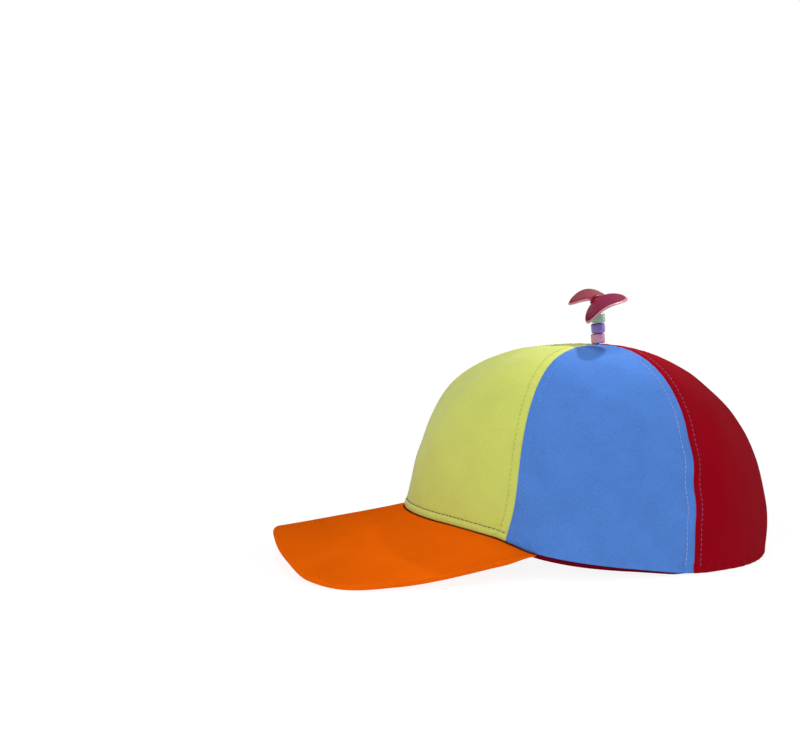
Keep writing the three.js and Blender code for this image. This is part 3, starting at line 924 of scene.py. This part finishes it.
def add_brim():
    even = np.linspace(-1, 1, BRIM_COLUMNS + 1)
    shares = lerp(even, np.sin(even * np.pi / 2), BRIM_CROWDING)
    angles = shares * BRIM_CORNER
    from_corner = 1 - np.abs(shares)
    edge = brim_edge(shares)
    root = rim_point(angles)
    tuck = rim_point(angles, BRIM_TUCK)
    for line in (root, tuck):
        line[:, 2] -= BRIM_DROP + BRIM_THICKNESS
    thick = lerp(BRIM_CORNER_THICKNESS, BRIM_THICKNESS, smoothstep(0, BRIM_CORNER_TAPER, from_corner))
    outward = edge - root
    reach = np.linalg.norm(outward, axis=1)
    outward /= reach[:, None]
    round_radius = np.minimum(thick / 2, reach * BRIM_ROUND_SHARE)
    flat = reach - round_radius
    steps = np.linspace(0, 1, BRIM_ROWS + 1)
    up = np.array((0, 0, 1.0))
    none = np.zeros(len(shares))

    loops, uvs = [], []

    def add_line(start, distance, depth, uv):
        """A line of points out from a start and down from the brim's upper face."""
        loops.append(start + outward * distance[:, None] + up * (BRIM_THICKNESS - depth)[:, None])
        uvs.append(uv)

    add_line(tuck, none, none, none - BRIM_TUCK)
    for step in steps:
        add_line(root, flat * step, none, flat * step)
    for step in range(1, BRIM_ROUND_STEPS):
        turn = math.pi * step / BRIM_ROUND_STEPS
        depth = thick / 2 * (1 - math.cos(turn))
        add_line(root, flat + round_radius * math.sin(turn), depth, flat + round_radius * turn)
    for step in steps[::-1]:
        add_line(root, flat * step, thick, flat * (2 - step) + round_radius * math.pi)
    add_line(tuck, none, thick, 2 * flat + round_radius * math.pi + BRIM_TUCK)
    points = np.array(loops)
    count, width = points.shape[:2]
    waves = BRIM_WAVE_HEIGHT * soft_noise(points, BRIM_WAVE_LENGTH)
    points[..., 2] += waves * smoothstep(0, BRIM_WAVE_TAPER, from_corner)
    points[..., 2] = np.maximum(points[..., 2], GROUND)
    uv = np.stack([np.broadcast_to(along_line(edge), (count, width)), np.array(uvs)], -1)
    faces = grid_faces(count - 1, width - 1, 0, True).tolist()
    for j in range(width - 1):
        low = (count - 1) * width + j
        faces.append([j, j + 1, low + 1, low])
    faces.append([i * width for i in reversed(range(count))])
    faces.append([i * width + width - 1 for i in range(count)])
    mesh = make_mesh("brim_cloth", points.reshape(-1, 3), faces, uv.reshape(-1, 2))
    add_piece("brim_cloth", mesh, orange_cloth, "cap", "orange_cloth", "brim")


add_brim()

# Band


def add_band():
    angles = np.linspace(-180, 180, BAND_COLUMNS, endpoint=False)
    rises = np.linspace(0, 1, BAND_ROWS + 1)
    heights = rises[:, None] * BAND_HEIGHT
    drop = lerp(BAND_DROP_FRONT, BAND_DROP, smoothstep(*BAND_DROP_ANGLES, np.abs(angles)))
    drop = drop * (1 - smoothstep(0, BAND_DROP_SHARE, rises[:, None]))
    grids = []
    for inset in (BAND_INSET, BAND_INSET + BAND_THICKNESS):
        part = heights / (CROWN_HEIGHT - inset - rim_height(np.abs(angles)))
        rise = np.arcsin(np.clip(part, 0, 1) ** (fullness(np.abs(angles)) / 2)) * 2 / np.pi
        grid = crown_point(angles, rise, inset)
        grid[..., 2] = np.maximum(grid[..., 2] - drop, BAND_CLEARANCE + heights)
        grids.append(grid)
    outer, inner = grids
    edge = np.minimum(rises, 1 - rises) * BAND_HEIGHT
    pinch = BAND_PINCH * (1 - smoothstep(0, BAND_PINCH_WIDTH, edge))[:, None, None]
    outer, inner = outer + (inner - outer) * pinch, inner + (outer - inner) * pinch
    around = np.linspace(0, np.pi * CROWN_LENGTH, BAND_COLUMNS, endpoint=False)
    uv = np.stack(np.broadcast_arrays(around, heights), -1)
    mesh = shell_mesh("band", outer, inner, uv, ring=True)
    piece = add_piece("band", mesh, band_cloth, "cap", "band_cloth", "sweatband")


add_band()

# Pin, beads and propeller


def topper_point(points):
    """Points measured from the top of the crown."""
    return np.asarray(points) + (0, TOP_SETBACK, CROWN_HEIGHT)


def transformed(points, matrix):
    return np.array([matrix @ Vector(point) for point in points])


propeller_lean = Matrix.Rotation(math.radians(PROPELLER_TILT), 4, "Y")
propeller_lean = propeller_lean @ Matrix.Rotation(math.radians(PROPELLER_LEAN), 4, "X")


def bent(point):
    """A point of a straight upright pin, moved to where it is on the bent one."""
    x, y, height = point
    past = height - PROPELLER_PIVOT
    turn = Quaternion().slerp(propeller_lean.to_quaternion(), smoothstep(-PIN_BEND / 2, PIN_BEND / 2, past))
    middle = propeller_lean @ Vector((0, 0, past)) if past > 0 else Vector((0, 0, past))
    return Vector((0, 0, PROPELLER_PIVOT)) + middle + turn @ Vector((x, y, 0))


def add_pin():
    disc = -CLOTH - 2 * GAP
    edge = PIN_DISC_THICKNESS / 2
    head = PROPELLER_PIVOT + BLADE_RISE + HUB_TOP + GAP
    bend = np.linspace(-PIN_BEND / 2, PIN_BEND / 2, PIN_BEND_STEPS + 1) + PROPELLER_PIVOT
    dome = head + PIN_HEAD_EDGE
    dome_height = PIN_HEAD_HEIGHT - PIN_HEAD_EDGE
    profile = [
        (0, disc - PIN_DISC_THICKNESS),
        *arc((PIN_DISC_RADIUS - edge, disc - edge), edge, -90, 90, steps=8),
        (PIN_RADIUS, disc),
        *[(PIN_RADIUS, height) for height in bend],
        (PIN_RADIUS, head),
        (PIN_HEAD_RADIUS - PIN_HEAD_EDGE, head),
        *[(x * PIN_HEAD_RADIUS, dome + y * dome_height) for x, y in arc((0, 0), 1, 0, 90, PIN_HEAD_STEPS)],
    ]
    points, faces = turned(profile, PIN_SIDES)
    mesh = make_mesh("pin", topper_point([bent(point) for point in points]), faces)
    add_piece("pin", mesh, pin_plastic, "cap", "pin_plastic", "post")


def add_bead(colour, order, material):
    half = BEAD_HEIGHT / 2
    straight = half - BEAD_ROUNDING
    shoulder = BEAD_RADIUS - BEAD_ROUNDING
    profile = [
        *arc((BEAD_HOLE_RADIUS + BEAD_LIP, -half + BEAD_LIP), BEAD_LIP, 180, 270, steps=4),
        *arc((shoulder, -straight), BEAD_ROUNDING, -90, 0, steps=12),
        *arc((shoulder, straight), BEAD_ROUNDING, 0, 90, steps=12),
        *arc((BEAD_HOLE_RADIUS + BEAD_LIP, half - BEAD_LIP), BEAD_LIP, 90, 180, steps=4),
        (BEAD_HOLE_RADIUS, -half + BEAD_LIP),
    ]
    points, faces = turned(profile)
    tip = math.radians(BEAD_TIP)
    lowest = half * math.cos(tip) + shoulder * math.sin(tip) + GAP
    height = lowest + order * (BEAD_HEIGHT + GAP) / math.cos(tip)
    matrix = Matrix.Translation((0, 0, height)) @ Matrix.Rotation(tip, 4, "X")
    name = f"pony_bead_{colour}"
    mesh = make_mesh(name, topper_point(transformed(points, matrix)), faces)
    add_piece(name, mesh, material, "cap", f"{colour}_bead", f"bead_{colour}")


def blade_point(along, across, lift):
    """A point of a blade before it is pitched. along and across run from -1 to 1 over its oval."""
    x = BLADE_REACH / 2 * (1 + along)
    y = BLADE_WIDTH / 2 * (1 - BLADE_TAPER * along) * across + BLADE_OFFSET
    return np.stack(np.broadcast_arrays(x, y, lift - BLADE_CUP * across**2), -1)


def blade_solid(turn):
    """One blade: a round grid stretched to an oval, cupped across its width, with a rounded edge."""
    radius = 1 - np.linspace(1, 0, BLADE_RINGS + 1)[1:-1, None] ** BLADE_RING_POWER
    turns = np.arange(BLADE_SECTORS) * 2 * np.pi / BLADE_SECTORS
    along = np.cos(turns)
    across = np.sin(turns)
    half = BLADE_THICKNESS / 2
    lift = half * np.sqrt(1 - radius**BLADE_EDGE_POWER)
    top = blade_point(radius * along, radius * across, lift)
    bottom = blade_point(radius * along, radius * across, -lift)
    rings = np.concatenate([top, blade_point(along, across, 0)[None], bottom[::-1]])
    middles = blade_point(np.zeros(2), np.zeros(2), np.array((half, -half)))
    points = np.concatenate([rings.reshape(-1, 3), middles])
    quads = grid_faces(len(rings) - 1, BLADE_SECTORS, flip=True, ring=True)
    faces = np.roll(quads, 1, axis=1).tolist()
    last = (len(rings) - 1) * BLADE_SECTORS
    for j in range(BLADE_SECTORS):
        k = (j + 1) % BLADE_SECTORS
        faces.append([len(points) - 2, j, k])
        faces.append([len(points) - 1, last + k, last + j])
    pitch = Matrix.Rotation(math.radians(BLADE_PITCH), 4, "X")
    return transformed(points, Matrix.Rotation(turn, 4, "Z") @ pitch), faces


def plain_object(name, points, faces):
    mesh = bpy.data.meshes.new(name)
    mesh.from_pydata([tuple(p) for p in points], [], [list(face) for face in faces])
    return new_object(name, mesh)


def combine(base, other, operation):
    """Joins or cuts the base with another solid, which is then removed."""
    modifier = base.modifiers.new("combine", "BOOLEAN")
    modifier.operation = operation
    modifier.solver = "EXACT"
    modifier.object = other
    evaluated = base.evaluated_get(bpy.context.evaluated_depsgraph_get())
    mesh = bpy.data.meshes.new_from_object(evaluated)
    base.modifiers.clear()
    base.data = mesh
    bpy.data.objects.remove(other)


def hub_profile():
    """The hub flares where it meets the blades."""
    low = -BLADE_THICKNESS / 2 - HUB_NECK
    inner = HUB_RADIUS - HUB_ROUNDING
    wide = HUB_RADIUS + HUB_FLARE
    return [
        (0, -HUB_BOTTOM),
        (inner, -HUB_BOTTOM),
        *arc((inner, -HUB_BOTTOM + HUB_ROUNDING), HUB_ROUNDING, -90, 0, steps=4)[1:],
        *arc((wide, low - HUB_FLARE), HUB_FLARE, 180, 95, steps=6),
        (wide, low + HUB_COLLAR),
        (HUB_RADIUS + HUB_SHOULDER[0], HUB_TOP - HUB_SHOULDER[1]),
        *arc((inner, HUB_TOP - HUB_ROUNDING), HUB_ROUNDING, 0, 90, steps=4),
        (0, HUB_TOP),
    ]


def blade_rim(propeller):
    """For each point of the unturned propeller: 0 inside a blade's upper face, 1 on its border and the hub,
    and 2 on its edge and underside."""
    pitch = Matrix.Rotation(math.radians(-BLADE_PITCH), 4, "X")
    hub_edge = HUB_RADIUS + HUB_FLARE
    values = []
    for vertex in propeller.data.vertices:
        spot = vertex.co.copy()
        if spot.x <= 0:
            spot.xy = -spot.xy
        x, y, z = pitch @ spot
        along = 2 * x / BLADE_REACH - 1
        across = (y - BLADE_OFFSET) / (BLADE_WIDTH / 2 * (1 - BLADE_TAPER * along))
        above = (z + BLADE_CUP * across**2) / (BLADE_THICKNESS / 2)
        out = math.hypot(along, across)
        edge = max(smoothstep(*BLADE_EDGE, out), 1 - smoothstep(*BLADE_SIDE, above))
        on_hub = 1 - smoothstep(hub_edge, hub_edge + HUB_FADE, vertex.co.xy.length)
        values.append(lerp(smoothstep(*BLADE_BORDER, out) * (1 + edge), 1, on_hub))
    return values


def add_propeller():
    whole = plain_object("hub", *turned(hub_profile()))
    for name, turn in (("near_blade", 0), ("far_blade", math.pi)):
        combine(whole, plain_object(name, *blade_solid(turn)), "UNION")
    slope = (HUB_MOUTH_RADIUS - HUB_BORE_RADIUS) / (HUB_BOTTOM - BLADE_RISE)
    foot = -HUB_BOTTOM - HUB_OVERRUN
    bore = [
        (0, foot),
        (HUB_MOUTH_RADIUS + slope * HUB_OVERRUN, foot),
        (HUB_BORE_RADIUS, -BLADE_RISE),
        (HUB_BORE_RADIUS, 2 * HUB_TOP),
        (0, 2 * HUB_TOP),
    ]
    combine(whole, plain_object("bore", *turned(bore)), "DIFFERENCE")
    # painted light: the far blade grows paler toward its end, as if light shone through it
    backlit_paleness = [smoothstep(0, BACKLIT_REACH, -vertex.co.x) for vertex in whole.data.vertices]
    paint = {"rim": blade_rim(whole), "backlit_paleness": backlit_paleness}
    turn = Matrix.Rotation(math.radians(PROPELLER_TURN), 4, "Z")
    lift = Matrix.Translation((0, 0, PROPELLER_PIVOT))
    matrix = lift @ propeller_lean @ Matrix.Translation((0, 0, BLADE_RISE)) @ turn
    points = transformed([vertex.co for vertex in whole.data.vertices], matrix)
    faces = [list(polygon.vertices) for polygon in whole.data.polygons]
    bpy.data.objects.remove(whole)
    mesh = make_mesh("propeller_blades", topper_point(points), faces, sharp=35)
    for name, values in paint.items():
        mesh.attributes.new(name, "FLOAT", "POINT").data.foreach_set("value", np.array(values, np.float32))
    add_piece("propeller_blades", mesh, red_plastic, "propeller", "red_plastic", "propeller")


add_pin()
add_bead("pink", 0, pink_plastic)
add_bead("purple", 1, purple_plastic)
add_bead("green", 2, green_plastic)
add_propeller()

# Floor, light and camera


def add_floor():
    corners = [(x * FLOOR_HALF, y * FLOOR_HALF, 0) for x, y in ((-1, -1), (1, -1), (1, 1), (-1, 1))]
    floor = plain_object("floor", corners, [[0, 1, 2, 3]])
    floor.data.materials.append(floor_material())


def add_lamp(name, lamp, toward, location=(0, 0, 0)):
    placed = new_object(name, lamp)
    placed.location = location
    placed.rotation_mode = "QUATERNION"
    placed.rotation_quaternion = Vector(toward).to_track_quat("Z", "Y")


def add_sun(name, toward, strength, spread):
    """A soft lamp far away."""
    lamp = bpy.data.lights.new(name, "SUN")
    lamp.energy = strength
    lamp.angle = math.radians(spread)
    add_lamp(name, lamp, toward)


def add_spot(name):
    """A small soft lamp behind the cap that lights only the top of the crown."""
    lamp = bpy.data.lights.new(name, "SPOT")
    lamp.energy = SPOT_POWER
    lamp.spot_size = math.radians(SPOT_WIDTH)
    lamp.spot_blend = 1
    lamp.shadow_soft_size = SPOT_RADIUS
    direction = Vector(SPOT_TOWARD).normalized()
    add_lamp(name, lamp, direction, Vector(SPOT_AIM) * MM + direction * SPOT_DISTANCE)


def add_world():
    world = bpy.data.worlds.new("studio")
    world.use_nodes = True
    tree = world.node_tree
    lit = tree.nodes["Background"]
    fill(lit, {"Color": WHITE, "Strength": WORLD_STRENGTH})
    seen = node(tree, "ShaderNodeBackground", {"Color": WHITE, "Strength": 1.0})
    path = node(tree, "ShaderNodeLightPath")
    choice = {0: path.outputs["Is Camera Ray"], 1: lit.outputs[0], 2: seen.outputs[0]}
    chosen = node(tree, "ShaderNodeMixShader", choice)
    fill(tree.nodes["World Output"], {"Surface": chosen.outputs[0]})
    bpy.context.scene.world = world


def add_camera():
    data = bpy.data.cameras.new("camera")
    data.sensor_width = 36
    data.lens = CAMERA_LENS
    data.clip_start = 0.01
    data.clip_end = 50
    camera = new_object("camera", data)
    position = Vector(CAMERA_PLACE) * MM
    aim = Vector(CAMERA_AIM) * MM
    camera.location = position
    camera.rotation_mode = "QUATERNION"
    camera.rotation_quaternion = (aim - position).to_track_quat("-Z", "Y")
    bpy.context.scene.camera = camera


add_floor()
add_sun("key", **KEY_LAMP)
add_spot("back")
add_sun("front", **FRONT_LAMP)
add_sun("side", **SIDE_LAMP)
add_world()
add_camera()
bpy.context.scene.view_settings.view_transform = "Standard"
